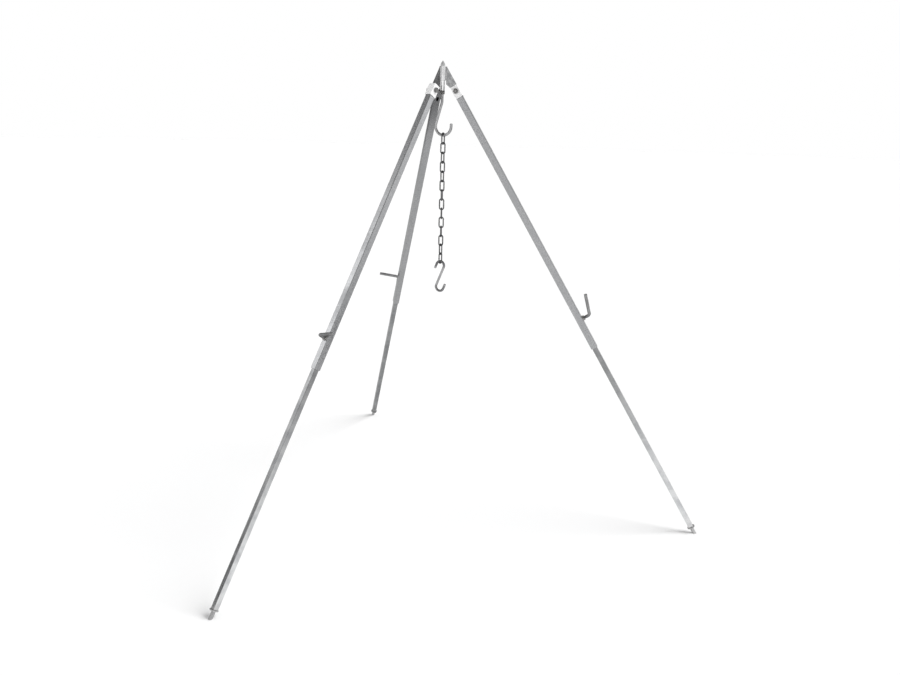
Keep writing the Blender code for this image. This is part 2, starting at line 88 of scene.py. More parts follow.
def leg_matrix(side):
    """Leg frame: x outward, y sideways, z up the leg, at the fold pivot."""
    fold, slide = JOINT["fold_" + side], JOINT["slide_" + side]
    y, z = Vector(fold["axis"]).normalized(), Vector(slide["axis"]).normalized()
    x = y.cross(z).normalized()
    m = Matrix((x, y, z)).transposed().to_4x4()
    m.translation = Vector(fold["pos_m"])
    return m


LEG = {side: leg_matrix(side) for side in SIDES}


# -------------------------------------------------------------- node helpers
class Nodes:
    """Short names for the shader nodes that the materials use."""

    def __init__(self, name):
        self.mat = bpy.data.materials.new(name)
        self.mat.use_nodes = True
        self.tree = self.mat.node_tree
        self.bsdf = self.tree.nodes["Principled BSDF"]
        self.coord = self.tree.nodes.new("ShaderNodeTexCoord")
        info = self.tree.nodes.new("ShaderNodeObjectInfo")
        shift = self.tree.nodes.new("ShaderNodeVectorMath")
        shift.operation = "MULTIPLY_ADD"
        shift.inputs[1].default_value = (3.1, 1.7, 2.3)
        self.tree.links.new(info.outputs["Random"], shift.inputs[0])
        self.tree.links.new(self.coord.outputs["Object"], shift.inputs[2])
        self.place = shift.outputs[0]
        self.local = self.coord.outputs["Object"]

    def link(self, a, b):
        self.tree.links.new(a, b)

    def stretch(self, x, y, z):
        node = self.tree.nodes.new("ShaderNodeVectorMath")
        node.operation = "MULTIPLY"
        node.inputs[1].default_value = (x, y, z)
        self.link(self.place, node.inputs[0])
        return node.outputs[0]

    def noise(self, scale, detail=3.0, rough=0.5, where=None):
        node = self.tree.nodes.new("ShaderNodeTexNoise")
        node.inputs["Scale"].default_value = scale
        node.inputs["Detail"].default_value = detail
        node.inputs["Roughness"].default_value = rough
        self.link(where or self.place, node.inputs["Vector"])
        return node.outputs["Fac"]

    def cells(self, scale, where=None):
        node = self.tree.nodes.new("ShaderNodeTexVoronoi")
        node.inputs["Scale"].default_value = scale
        self.link(where or self.place, node.inputs["Vector"])
        split = self.tree.nodes.new("ShaderNodeSeparateColor")
        self.link(node.outputs["Color"], split.inputs[0])
        return split.outputs[0], node.outputs["Distance"]

    def remap(self, value, low, high, to_low, to_high, smooth=False):
        node = self.tree.nodes.new("ShaderNodeMapRange")
        if smooth:
            node.interpolation_type = "SMOOTHSTEP"
        for key, v in (("From Min", low), ("From Max", high),
                       ("To Min", to_low), ("To Max", to_high)):
            node.inputs[key].default_value = v
        self.link(value, node.inputs["Value"])
        return node.outputs["Result"]

    def math(self, op, a, b):
        node = self.tree.nodes.new("ShaderNodeMath")
        node.operation = op
        for k, v in ((0, a), (1, b)):
            if isinstance(v, (int, float)):
                node.inputs[k].default_value = v
            else:
                self.link(v, node.inputs[k])
        return node.outputs[0]

    def mix(self, fac, a, b, mode="MIX"):
        node = self.tree.nodes.new("ShaderNodeMix")
        node.data_type = "RGBA"
        node.blend_type = mode
        if isinstance(fac, (int, float)):
            node.inputs["Factor"].default_value = fac
        else:
            self.link(fac, node.inputs["Factor"])
        for socket, v in ((node.inputs[6], a), (node.inputs[7], b)):
            if isinstance(v, tuple):
                socket.default_value = (*v, 1.0)
            else:
                self.link(v, socket)
        return node.outputs[2]

    def bump(self, height, distance, strength=1.0, normal=None):
        node = self.tree.nodes.new("ShaderNodeBump")
        node.inputs["Distance"].default_value = distance
        node.inputs["Strength"].default_value = strength
        self.link(height, node.inputs["Height"])
        if normal is not None:
            self.link(normal, node.inputs["Normal"])
        return node.outputs[0]

    def axis(self, which):
        node = self.tree.nodes.new("ShaderNodeSeparateXYZ")
        self.link(self.local, node.inputs[0])
        return node.outputs[which]

    def grade(self, tone, low, high, k_low, k_high):
        """Darker or lighter along the piece, between two heights."""
        return self.mix(1.0, tone, self.remap(self.axis(2), low, high, k_low, k_high, True),
                        "MULTIPLY")

    def metal(self, amount, edge):
        """Metallic value, and how much it mirrors at a grazing angle."""
        self.bsdf.inputs["Metallic"].default_value = amount
        self.bsdf.inputs["Specular Tint"].default_value = (edge, edge, edge, 1.0)

    def worn(self):
        """0 on flats to 1 on sharp outer edges."""
        geo = self.tree.nodes.new("ShaderNodeNewGeometry")
        return self.remap(geo.outputs["Pointiness"], 0.515, 0.56, 0.0, 1.0)


def galvanised(name, k, top=1.0):
    """Grainy hot-dip zinc: small spangles, fine grain and dull cloudy areas.
    k scales how light it is, and top is the painted shade that darkens the end next to the head."""
    n = Nodes(name)

    def grey(r, g, b):
        return (r * k, g * k, b * k)

    flake, _ = n.cells(330.0)
    flake2, _ = n.cells(760.0)
    cloud = n.noise(9.0, 4.0, 0.55)
    grain = n.noise(1500.0, 2.0)
    runs = n.noise(60.0, 3.0, 0.6, n.stretch(1.0, 1.0, 0.06))
    tone = n.mix(n.remap(flake, 0, 1, 0.0, 1.0), grey(0.34, 0.345, 0.355),
                 grey(0.50, 0.503, 0.51))
    tone = n.mix(0.35, tone, n.mix(flake2, grey(0.30, 0.305, 0.315), grey(0.55, 0.553, 0.56)))
    tone = n.mix(n.remap(cloud, 0.42, 0.66, 0.0, 0.55, True), tone, grey(0.40, 0.405, 0.415))
    tone = n.mix(n.remap(runs, 0.58, 0.74, 0.0, 0.35, True), tone, grey(0.56, 0.565, 0.57))
    tone = n.mix(n.remap(grain, 0.35, 0.7, 0.0, 0.22), tone, grey(0.30, 0.305, 0.315))
    # painted shade: the end next to the head is multiplied down by top
    tone = n.grade(tone, -0.24, -0.03, 1.0, top)
    n.link(tone, n.bsdf.inputs["Base Color"])
    rough = n.remap(flake, 0, 1, 0.20, 0.34)
    rough = n.math("ADD", rough, n.remap(cloud, 0.4, 0.7, -0.03, 0.09))
    n.link(rough, n.bsdf.inputs["Roughness"])
    n.metal(1.0, 0.75)
    bump = n.bump(flake, 0.00003, 0.20)
    bump = n.bump(grain, 0.00004, 0.25, bump)
    n.link(n.bump(runs, 0.00020, 0.20, bump), n.bsdf.inputs["Normal"])
    return n.mat


def zinc(name, light, dark, rough_low, rough_high, length_axis=True, dust=None,
         ends=None, metal=1.0, edge=0.8, grade=None):
    """Bright zinc plate with drawing lines along the piece and soft stains.
    ends gives the heights above and below which the piece is darkened as painted shade."""
    n = Nodes(name)
    lines = n.noise(420.0, 3.0, 0.6, n.stretch(1.0, 1.0, 0.03) if length_axis else None)
    cloud = n.noise(22.0, 4.0, 0.55)
    grain = n.noise(2200.0, 2.0)
    pits = n.noise(650.0, 1.0)
    tone = n.mix(n.remap(cloud, 0.35, 0.68, 0.0, 1.0, True), light, dark)
    tone = n.mix(n.remap(lines, 0.45, 0.75, 0.0, 0.30), tone, dark)
    tone = n.mix(n.remap(pits, 0.70, 0.80, 0.0, 0.45), tone, (0.30, 0.30, 0.31))
    rough = n.math("ADD", n.remap(cloud, 0.3, 0.7, rough_low, rough_high),
                   n.remap(lines, 0.3, 0.7, -0.04, 0.06))
    if dust is not None:
        low, high = dust
        settled = n.math("MULTIPLY", n.remap(n.axis(2), low, high, 1.0, 0.0, True),
                         n.remap(n.noise(90.0, 4.0, 0.6), 0.35, 0.65, 0.1, 0.8))
        tone = n.mix(n.math("MULTIPLY", settled, 0.5), tone, (0.50, 0.48, 0.45))
        rough = n.math("ADD", rough, n.math("MULTIPLY", settled, 0.18))
    # painted shade: darker above and below the given heights, at the bends and where parts touch
    if ends is not None:
        high, low, soft, amount = ends
        contact_shade = n.math("ADD", n.remap(n.axis(2), high - soft, high + soft, 0.0, 1.0, True),
                        n.remap(n.axis(2), low - soft, low + soft, 1.0, 0.0, True))
        contact_shade = n.math("MULTIPLY", contact_shade, n.remap(n.noise(260.0, 3.0), 0.3, 0.6, 0.6, 1.0))
        tone = n.mix(n.math("MULTIPLY", contact_shade, amount), tone, (0.10, 0.10, 0.105))
    if grade is not None:
        tone = n.grade(tone, *grade)
    n.link(tone, n.bsdf.inputs["Base Color"])
    n.link(rough, n.bsdf.inputs["Roughness"])
    n.metal(metal, edge)
    bump = n.bump(lines, 0.00004, 0.6)
    bump = n.bump(pits, 0.00005, 0.4, bump)
    n.link(n.bump(grain, 0.00003, 0.5, bump), n.bsdf.inputs["Normal"])
    return n.mat


def weldment(name, light, dark, low, high, worn=0.0):
    """Duller dipped steel: runs of zinc, darker stains and a matt grain."""
    n = Nodes(name)
    cloud = n.noise(60.0, 5.0, 0.6)
    flake, _ = n.cells(420.0)
    grain = n.noise(1300.0, 3.0)
    stain = n.noise(140.0, 3.0)
    tone = n.mix(n.remap(cloud, 0.36, 0.66, 0.0, 1.0, True), light, dark)
    tone = n.mix(n.remap(flake, 0, 1, 0.0, 0.25), tone, (0.62, 0.62, 0.62))
    tone = n.mix(n.remap(stain, 0.60, 0.75, 0.0, 0.5, True), tone, (0.22, 0.22, 0.225))
    tone = n.mix(n.math("MULTIPLY", n.worn(), worn), tone, (0.70, 0.70, 0.70))
    n.link(tone, n.bsdf.inputs["Base Color"])
    n.link(n.math("ADD", n.remap(cloud, 0.35, 0.7, low, high),
                  n.remap(flake, 0, 1, -0.03, 0.05)), n.bsdf.inputs["Roughness"])
    n.metal(1.0, 0.8)
    bump = n.bump(cloud, 0.0003, 0.35)
    n.link(n.bump(grain, 0.00008, 0.6, bump), n.bsdf.inputs["Normal"])
    return n.mat


MAT = {
    "galvanised": galvanised("galvanised_steel", 0.92),
    # painted shade: the back leg gets a darker copy of the galvanised steel, darker still next to
    # the head
    "galvanised_shaded_back": galvanised("galvanised_steel_shaded_back", 0.78, 0.50),
    # painted shade: near-black inner faces of the tubes, where the inside lies in shade
    "inside": weldment("bare_inside", (0.07, 0.07, 0.072), (0.035, 0.035, 0.036), 0.55, 0.70),
    # painted light and shade: the lower tube is lightened towards the foot and darkened towards
    # the clamp by grade
    "lower": zinc("zinc_tube", (0.52, 0.525, 0.53), (0.38, 0.385, 0.395), 0.15, 0.25,
                  True, (-1.10, -0.98), grade=(-0.95, -0.22, 1.35, 0.62)),
    # painted shade: the back lower tube gets a darker copy of the zinc
    "lower_back": zinc("zinc_tube_shaded_back", (0.30, 0.305, 0.31), (0.21, 0.215, 0.22), 0.26, 0.38,
                       True, (-1.10, -0.98)),
    "foot": zinc("zinc_foot", (0.52, 0.52, 0.52), (0.36, 0.36, 0.365), 0.32, 0.48, False,
                 (-1.13, -1.06)),
    "rod": zinc("zinc_rod", (0.45, 0.45, 0.455), (0.30, 0.30, 0.305), 0.18, 0.30, edge=0.10),
    "handle": zinc("zinc_handle", (0.32, 0.32, 0.322), (0.20, 0.20, 0.202), 0.22, 0.34,
                   edge=0.2),
    # painted shade at both bends of the S-hook
    "s_hook": zinc("zinc_s_hook", (0.47, 0.47, 0.475), (0.34, 0.34, 0.345), 0.18, 0.30,
                   ends=(-0.014, -0.086, 0.007, 0.8), edge=0.06),
    # painted shade at the ends of each link, where the links touch
    "chain": zinc("zinc_chain", (0.18, 0.18, 0.182), (0.10, 0.10, 0.102), 0.22, 0.36, False,
                  ends=(-0.0005, -0.0290, 0.0035, 0.8), edge=0.1),
    "bright": zinc("zinc_bright", (0.86, 0.86, 0.86), (0.72, 0.72, 0.72), 0.18, 0.30, False,
                   edge=0.2),
    "bracket": zinc("zinc_bracket", (0.95, 0.95, 0.95), (0.86, 0.86, 0.862), 0.42, 0.54,
                    False, metal=0.2),
    "nut": zinc("zinc_nut", (0.32, 0.315, 0.305), (0.17, 0.17, 0.17), 0.22, 0.36, False,
                edge=0.5),
    "cap": zinc("zinc_cap", (0.58, 0.58, 0.575), (0.44, 0.44, 0.44), 0.44, 0.58, False,
                metal=0.6),
    "plate": weldment("dipped_plate", (0.42, 0.425, 0.43), (0.28, 0.285, 0.29), 0.44, 0.56),
    # painted shade: the left arm plate gets its own much darker copy of the plate material
    "plate_left": weldment("dipped_plate_shaded_left", (0.13, 0.132, 0.135), (0.07, 0.071, 0.073),
                           0.44, 0.56),
    "hub": weldment("dipped_hub", (0.76, 0.76, 0.765), (0.60, 0.60, 0.605), 0.26, 0.38, 0.5),
    "bead": weldment("weld_bead", (0.48, 0.48, 0.48), (0.30, 0.30, 0.305), 0.34, 0.50),
}


# ------------------------------------------------------------- mesh helpers
def finish_piece(name, bm, body, mat, matrix=None, smooth=40.0, bevel=None,
                 replaces=(), segments=2, angle=32.0, clean=False):
    """Makes the object, bakes its bevel into the mesh and sets it on its body."""
    if clean:
        bmesh.ops.remove_doubles(bm, verts=bm.verts[:], dist=2e-6)
        bmesh.ops.dissolve_limit(bm, angle_limit=math.radians(0.6), verts=bm.verts[:],
                                 edges=bm.edges[:])
    bmesh.ops.recalc_face_normals(bm, faces=bm.faces[:])
    mesh = bpy.data.meshes.new(name)
    bm.to_mesh(mesh)
    bm.free()
    obj = bpy.data.objects.new(name, mesh)
    bpy.context.scene.collection.objects.link(obj)
    if bevel:
        mod = obj.modifiers.new("edge", "BEVEL")
        mod.width = bevel
        mod.segments = segments
        mod.limit_method = "ANGLE"
        mod.angle_limit = math.radians(angle)
        mod.use_clamp_overlap = True
        bpy.context.view_layer.update()
        done = bpy.data.meshes.new_from_object(
            obj.evaluated_get(bpy.context.evaluated_depsgraph_get()))
        obj.modifiers.clear()
        obj.data = done
        mesh = done
    mesh.shade_smooth()
    mesh.set_sharp_from_angle(angle=math.radians(smooth))
    mesh.materials.clear()
    mesh.materials.append(MAT[mat] if isinstance(mat, str) else mat)
    if bevel:
        # flats keep their own normal up to the rounded edges
        mod = obj.modifiers.new("flats", "WEIGHTED_NORMAL")
        mod.mode, mod.weight, mod.keep_sharp = "FACE_AREA", 50, True
        bpy.context.view_layer.update()
        done = bpy.data.meshes.new_from_object(
            obj.evaluated_get(bpy.context.evaluated_depsgraph_get()))
        obj.modifiers.clear()
        obj.data = done
    obj.matrix_world = matrix if matrix is not None else Matrix.Identity(4)
    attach(obj, body)
    if replaces:
        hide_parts(*replaces)
    return obj


def boolean(bm, cutters):
    """Subtracts the cutter meshes from bm with the exact solver."""
    base_mesh = bpy.data.meshes.new("base")
    bmesh.ops.recalc_face_normals(bm, faces=bm.faces[:])
    bm.to_mesh(base_mesh)
    bm.free()
    base = bpy.data.objects.new("base", base_mesh)
    bpy.context.scene.collection.objects.link(base)
    made = [base]
    for cutter in cutters:
        bmesh.ops.recalc_face_normals(cutter, faces=cutter.faces[:])
        mesh = bpy.data.meshes.new("cutter")
        cutter.to_mesh(mesh)
        cutter.free()
        tool = bpy.data.objects.new("cutter", mesh)
        bpy.context.scene.collection.objects.link(tool)
        made.append(tool)
        mod = base.modifiers.new("cut", "BOOLEAN")
        mod.operation, mod.solver, mod.object = "DIFFERENCE", "EXACT", tool
    bpy.context.view_layer.update()
    done = bpy.data.meshes.new_from_object(
        base.evaluated_get(bpy.context.evaluated_depsgraph_get()))
    out = bmesh.new()
    out.from_mesh(done)
    for obj in made:
        mesh = obj.data
        bpy.data.objects.remove(obj, do_unlink=True)
        bpy.data.meshes.remove(mesh)
    bpy.data.meshes.remove(done)
    bmesh.ops.remove_doubles(out, verts=out.verts[:], dist=2e-6)
    return out


def rounded_square(width, corner, steps):
    points = []
    half = width / 2 - corner
    for k, (sx, sy) in enumerate(((1, 1), (-1, 1), (-1, -1), (1, -1))):
        for i in range(steps + 1):
            a = math.radians(90 * k + 90 * i / steps)
            points.append((sx * half + corner * math.cos(a),
                           sy * half + corner * math.sin(a)))
    return points


def circle(radius, sides, phase=0.0):
    return [(radius * math.cos(2 * math.pi * (i + phase) / sides),
             radius * math.sin(2 * math.pi * (i + phase) / sides)) for i in range(sides)]


def hexagon(across_flats):
    return circle(across_flats / math.sqrt(3), 6)


def place(axis, p, q, h):
    return {"z": (p, q, h), "y": (q, h, p), "x": (h, p, q)}[axis]


def prism(outline, low, high, inner=None, axis="z", levels=1):
    bm = bmesh.new()
    heights = [low + (high - low) * i / levels for i in range(levels + 1)]
    rings = [[[bm.verts.new(place(axis, p, q, h)) for p, q in points] for h in heights]
             for points in ([outline] if inner is None else [outline, inner])]
    for ring in rings:
        for a, b in zip(ring[:-1], ring[1:]):
            for i in range(len(a)):
                j = (i + 1) % len(a)
                bm.faces.new((a[i], a[j], b[j], b[i]))
    if inner is None:
        bm.faces.new(rings[0][0])
        bm.faces.new(rings[0][-1])
    else:
        for end in (0, -1):
            for i in range(len(outline)):
                j = (i + 1) % len(outline)
                bm.faces.new((rings[0][end][i], rings[0][end][j],
                              rings[1][end][j], rings[1][end][i]))
    return bm


def lathe(profile, sides, axis="z", bm=None):
    """Turns (radius, height) pairs about the axis; radius 0 ends close it."""
    bm = bm or bmesh.new()
    rings = []
    for radius, h in profile:
        if radius < 1e-7:
            rings.append([bm.verts.new(place(axis, 0.0, 0.0, h))])
        else:
            rings.append([bm.verts.new(place(axis, p, q, h)) for p, q in circle(radius, sides)])
    for a, b in zip(rings[:-1], rings[1:]):
        join_rings(bm, a, b)
    return bm


def join_rings(bm, a, b):
    n = max(len(a), len(b))
    for i in range(n):
        j = (i + 1) % n
        if len(a) == 1:
            bm.faces.new((a[0], b[j], b[i]))
        elif len(b) == 1:
            bm.faces.new((a[i], a[j], b[0]))
        else:
            bm.faces.new((a[i], a[j], b[j], b[i]))


def closed_lathe(profile, sides, axis="z"):
    """A ring-shaped piece: the profile closes on itself and holds no axis."""
    bm = bmesh.new()
    rings = [[bm.verts.new(place(axis, p, q, h)) for p, q in circle(radius, sides)]
             for radius, h in profile]
    for a, b in zip(rings, rings[1:] + rings[:1]):
        join_rings(bm, a, b)
    return bm


def sweep(points, radius, sides, closed=False, normal=None, end="round", bm=None):
    """Round bar along points in one plane. radius is a number or one per point."""
    pts = [Vector(p) for p in points]
    n = len(pts)
    radii = list(radius) if hasattr(radius, "__len__") else [radius] * n
    if normal is None:
        for i in range(1, n - 1):
            c = (pts[i] - pts[i - 1]).cross(pts[i + 1] - pts[i])
            if c.length > 1e-10:
                normal = c.normalized()
                break
    bm = bm or bmesh.new()
    rings, tangents = [], []
    for i in range(n):
        if closed:
            a, b = pts[i] - pts[i - 1], pts[(i + 1) % n] - pts[i]
        elif i == 0:
            a = b = pts[1] - pts[0]
        elif i == n - 1:
            a = b = pts[-1] - pts[-2]
        else:
            a, b = pts[i] - pts[i - 1], pts[i + 1] - pts[i]
        tangents.append((a.normalized() + b.normalized()).normalized())

    def ring(centre, tangent, r):
        side = tangent.cross(normal).normalized()
        return [bm.verts.new(centre + side * (r * math.cos(2 * math.pi * k / sides))
                             + normal * (r * math.sin(2 * math.pi * k / sides)))
                for k in range(sides)]

    for p, t, r in zip(pts, tangents, radii):
        rings.append(ring(p, t, r))
    if closed:
        for a, b in zip(rings, rings[1:] + rings[:1]):
            join_rings(bm, a, b)
        return bm
    if end == "round":
        caps = ((0, -1), (n - 1, 1))
        for index, sign in caps:
            r, t, p = radii[index], tangents[index] * sign, pts[index]
            run = [ring(p - t * (r * 0.45) + t * (r * 0.45 * math.sin(a)), tangents[index],
                        r * (0.55 + 0.45 * math.cos(a)))
                   for a in (math.radians(30), math.radians(60), math.radians(90))]
            # the bar's own last ring moves back to where the rounding starts
            for v in rings[index]:
                v.co -= t * (r * 0.45)
            chain = [rings[index]] + run
            for a, b in zip(chain[:-1], chain[1:]):
                join_rings(bm, a, b)
            bm.faces.new(chain[-1])
    else:
        bm.faces.new(rings[0])
        bm.faces.new(rings[-1])
    for a, b in zip(rings[:-1], rings[1:]):
        join_rings(bm, a, b)
    return bm


def arc(cx, cz, radius, start, end, steps):
    return [(cx + radius * math.cos(math.radians(start + (end - start) * i / steps)),
             cz + radius * math.sin(math.radians(start + (end - start) * i / steps)))
            for i in range(steps + 1)]


def fillet(a, b, c, radius, steps):
    a, b, c = Vector(a), Vector(b), Vector(c)
    u, v = (a - b).normalized(), (c - b).normalized()
    half = u.angle(v) / 2
    reach = radius / math.tan(half)
    centre = b + (u + v).normalized() * (radius / math.sin(half))
    p, q = b + u * reach - centre, b + v * reach - centre
    total = p.angle(q)
    return [centre + (p * math.sin((1 - i / steps) * total) + q * math.sin(i / steps * total))
            / math.sin(total) for i in range(steps + 1)]


def thread(bm, start, end, root, crest, pitch, axis="x", steps=22):
    """Helical ridge on a shaft, with tapered ends, added to bm."""
    turns = (end - start) / pitch
    count = max(4, int(round(turns * steps)))
    rings = []
    for i in range(count + 1):
        h = start + (end - start) * i / count
        a = 2 * math.pi * (h - start) / pitch
        fade = min(1.0, i / steps, (count - i) / steps)
        top = root - 0.0001 + (crest - root + 0.0001) * max(0.02, fade)
        section = ((root - 0.00015, -0.44), (top, -0.07), (top, 0.07), (root - 0.00015, 0.44))
        rings.append([bm.verts.new(place(axis, r * math.cos(a), r * math.sin(a), h + k * pitch))
                      for r, k in section])
    for a, b in zip(rings[:-1], rings[1:]):
        for i in range(4):
            j = (i + 1) % 4
            bm.faces.new((a[i], a[j], b[j], b[i]))
    bm.faces.new(rings[0])
    bm.faces.new(rings[-1])


def hex_body(across_flats, low, high, bore=None, axis="z", chamfer_low=True,
             chamfer_high=True, per_side=8):
    """Hexagon whose corners are turned off at 30 degrees, with an optional bore."""
    corner = across_flats / math.sqrt(3)
    flat = across_flats / 2
    outline = []
    for k in range(6):
        a0, a1 = math.radians(60 * k), math.radians(60 * (k + 1))
        p0 = (corner * math.cos(a0), corner * math.sin(a0))
        p1 = (corner * math.cos(a1), corner * math.sin(a1))
        for i in range(per_side):
            t = i / per_side
            outline.append((p0[0] + (p1[0] - p0[0]) * t, p0[1] + (p1[1] - p0[1]) * t))
    n = len(outline)
    turn = flat * 0.985
    slope = math.tan(math.radians(30))

    def drop(p):
        return max(0.0, (math.hypot(*p) - turn) * slope)

    bm = bmesh.new()

    def row(points, heights):
        return [bm.verts.new(place(axis, p[0], p[1], h)) for p, h in zip(points, heights)]

    def shrink(p):
        d = math.hypot(*p)
        return (p[0] * turn / d, p[1] * turn / d)

    inner = [shrink(p) for p in outline]
    rings = []
    rings.append(row(inner, [low] * n) if chamfer_low else row(outline, [low] * n))
    if chamfer_low:
        rings.append(row(outline, [low + drop(p) for p in outline]))
    if chamfer_high:
        rings.append(row(outline, [high - drop(p) for p in outline]))
        rings.append(row(inner, [high] * n))
    else:
        rings.append(row(outline, [high] * n))
    for a, b in zip(rings[:-1], rings[1:]):
        join_rings(bm, a, b)
    if bore is None:
        bm.faces.new(rings[0])
        bm.faces.new(rings[-1])
    else:
        lip = 0.0006
        holes = []
        for h, r in ((low, bore + lip), (low + lip, bore), (high - lip, bore), (high, bore + lip)):
            holes.append([bm.verts.new(place(axis, r * p[0] / math.hypot(*p),
                                             r * p[1] / math.hypot(*p), h)) for p in outline])
        for a, b in zip(holes[:-1], holes[1:]):
            join_rings(bm, a, b)
        join_rings(bm, rings[0], holes[0])
        join_rings(bm, rings[-1], holes[-1])
    return bm


def bead(path, radius, flat_normal, closed=True, ripple=0.10, pitch=0.0032, sides=10,
         bm=None):
    """Weld bead along a path: a rippled round section."""
    pts = [Vector(p) for p in path]
    n = len(pts)
    run = 0.0
    bm = bm or bmesh.new()
    rings = []
    for i in range(n):
        a = pts[i] - pts[i - 1] if (closed or i > 0) else pts[1] - pts[0]
        b = pts[(i + 1) % n] - pts[i] if (closed or i < n - 1) else pts[-1] - pts[-2]
        t = (a.normalized() + b.normalized()).normalized()
        up = (flat_normal - t * flat_normal.dot(t)).normalized()
        side = t.cross(up)
        if i:
            run += (pts[i] - pts[i - 1]).length
        r = radius * (1.0 + ripple * math.cos(2 * math.pi * run / pitch)
                      + 0.06 * math.sin(run * 2310.0 + 1.3))
        rings.append([bm.verts.new(pts[i] + side * (r * math.cos(2 * math.pi * k / sides))
                                   + up * (r * math.sin(2 * math.pi * k / sides)))
                      for k in range(sides)])
    for a, b in zip(rings[:-1], rings[1:]):
        join_rings(bm, a, b)
    if closed:
        join_rings(bm, rings[-1], rings[0])
    else:
        bm.faces.new(rings[0])
        bm.faces.new(rings[-1])
    return bm


# ----------------------------------------------------------------------- head
def radial_to_leg(radius, height):
    drop = CROSSING_Z - height
    station = radius * math.sin(TILT) + drop * math.cos(TILT)
    outward = radius * math.cos(TILT) - drop * math.sin(TILT)
    return outward, PIVOT_S - station


def build_head():
    at_hub = Matrix.Translation(HUB)
    c = 0.0006
    hub = closed_lathe([
        (HUB_R, HUB_BOTTOM + c), (HUB_R, HUB_TOP - c), (HUB_R - c, HUB_TOP),
        (HUB_BORE + c * 0.5, HUB_TOP), (HUB_BORE, HUB_TOP - c * 0.5),
        (HUB_BORE, HUB_BOTTOM + c * 0.5), (HUB_BORE + c * 0.5, HUB_BOTTOM),
        (HUB_R - c, HUB_BOTTOM)], 48)
    finish_piece("hub_body", hub, "head", "hub", at_hub, 38, replaces=("hub_tube",))
    sleeve = closed_lathe([
        (SLEEVE_R, SLEEVE_BOTTOM + c), (SLEEVE_R, SLEEVE_TOP - c), (SLEEVE_R - c, SLEEVE_TOP),
        (SLEEVE_BORE + c * 0.5, SLEEVE_TOP), (SLEEVE_BORE, SLEEVE_TOP - c * 0.5),
        (SLEEVE_BORE, SLEEVE_BOTTOM + c * 0.5), (SLEEVE_BORE + c * 0.5, SLEEVE_BOTTOM),
        (SLEEVE_R - c, SLEEVE_BOTTOM)], 44)
    finish_piece("swivel_sleeve", sleeve, "head", "bright", at_hub, 38,
                 replaces=("hub_sleeve",))
    for side in SIDES:
        build_arm(side)


def cad_copy(node):
    """The CAD node's own mesh as a new bmesh; finish_piece welds it and dissolves its flat
    triangles when clean is set.
    """
    bm = bmesh.new()
    bm.from_mesh(frame["nodes"][node].data)
    return bm


def build_arm(side):
    m = LEG[side]
    half = UPPER_W / 2
    outside = half + GAP + BRACKET_T
    # the left plate takes the darker copy, which is painted shade
    finish_piece("plate_" + side, cad_copy("arm_plate_" + side), "head",
                 "plate_left" if side == "left" else "plate", None, 30,
                 bevel=0.00045, replaces=("arm_plate_" + side,), clean=True)
    finish_piece("bracket_" + side, cad_copy("pivot_bracket_" + side), "head", "bracket",
                 None, 30, bevel=0.0005, segments=3, replaces=("pivot_bracket_" + side,),
                 clean=True)

    # bolt: chamfered head, plain shank and a threaded end
    head_in = outside + GAP
    end = -head_in - NUT_T - 0.0021
    bolt = hex_body(HEX_AF, head_in, head_in + HEAD_T, None, "y", chamfer_low=False)
    core = BOLT_R - 0.0006
    lathe([(0, end), (core - 0.0006, end), (core, end + 0.0008), (core, end + 0.0140),
           (BOLT_R, end + 0.0150), (BOLT_R, head_in)], 32, "y", bolt)
    thread(bolt, end + 0.0012, end + 0.0145, core, BOLT_R, 0.0015, "y")
    finish_piece("bolt_" + side, bolt, "head", "nut", m, 28, replaces=("pivot_bolt_" + side,))
    nut = hex_body(HEX_AF, -head_in - NUT_T, -head_in, BOLT_R + 0.0003, "y")
    finish_piece("nut_" + side, nut, "head", "nut", m, 28, replaces=("pivot_nut_" + side,))

    # weld on the hub: a saddle with a rippled fillet along each side of the plate
    seat, near, edge = HUB_R - 0.0001, PLATE_T / 2 - 0.0001, FIN_EDGE_R + 0.0002
    section = [(seat * math.cos(math.radians(a)), seat * math.sin(math.radians(a)), 0.0)
               for a in (-20, -10, 0, 10, 20)]
    fillet_side = [(0.0124, 0.0046, 0.7), (0.0133, 0.0043, 1.0), (0.0142, 0.0037, 1.0),
                   (0.0151, 0.0029, 1.0), (0.0159, 0.0020, 0.8), (0.0162, near, 0.2)]
    section += fillet_side + [(edge, near, 0.0), (edge, -near, 0.0)]
    section += [(r, -y, free) for r, y, free in reversed(fillet_side)]
    bm = bmesh.new()
    rings = []
    levels = 60
    top, low = CROSSING_Z - 0.0020, CROSSING_Z - 0.0480
    for i in range(levels + 1):
        height = top + (low - top) * i / levels
        fade = min(1.0, i / 3.0, (levels - i) / 3.0)
        ring = []
        for radius, y, free in section:
            lift = 0.0009 if y > 0 else 0.0
            wave = 0.5 + 0.5 * math.cos(2 * math.pi * (top - height + lift) / 0.0031)
            pull = free * (0.00045 * (1.0 - wave) + 0.0011 * (1.0 - math.sqrt(fade)))
            centre_r, centre_y = 0.0130, math.copysign(0.0014, y) if free else 0.0
            d = math.hypot(radius - centre_r, y - centre_y) or 1.0
            scale = 1.0 - pull / d
            x, z = radial_to_leg(centre_r + (radius - centre_r) * scale, height)
            ring.append(bm.verts.new((x, centre_y + (y - centre_y) * scale, z)))
        rings.append(ring)
    for a, b in zip(rings[:-1], rings[1:]):
        join_rings(bm, a, b)
    bm.faces.new(rings[0])
    bm.faces.new(rings[-1])
    finish_piece("weld_" + side, bm, "head", "bead", m, 50, replaces=("arm_weld_" + side,))

    # short beads that join the plate's outer edge to the bracket's back
    bm = bmesh.new()
    for sign in (-1, 1):
        run = [Vector((half + 0.0001, sign * (PLATE_T / 2 + 0.0003),
                       PIVOT_S - BRACKET_TOP_S - 0.0003 - 0.0034 * i / 10)) for i in range(11)]
        bead(run, 0.0010, Vector((1, 0, 0)), False, 0.12, 0.0021, 8, bm)
    finish_piece("bracket_weld_" + side, bm, "head", "bead", m, 60)


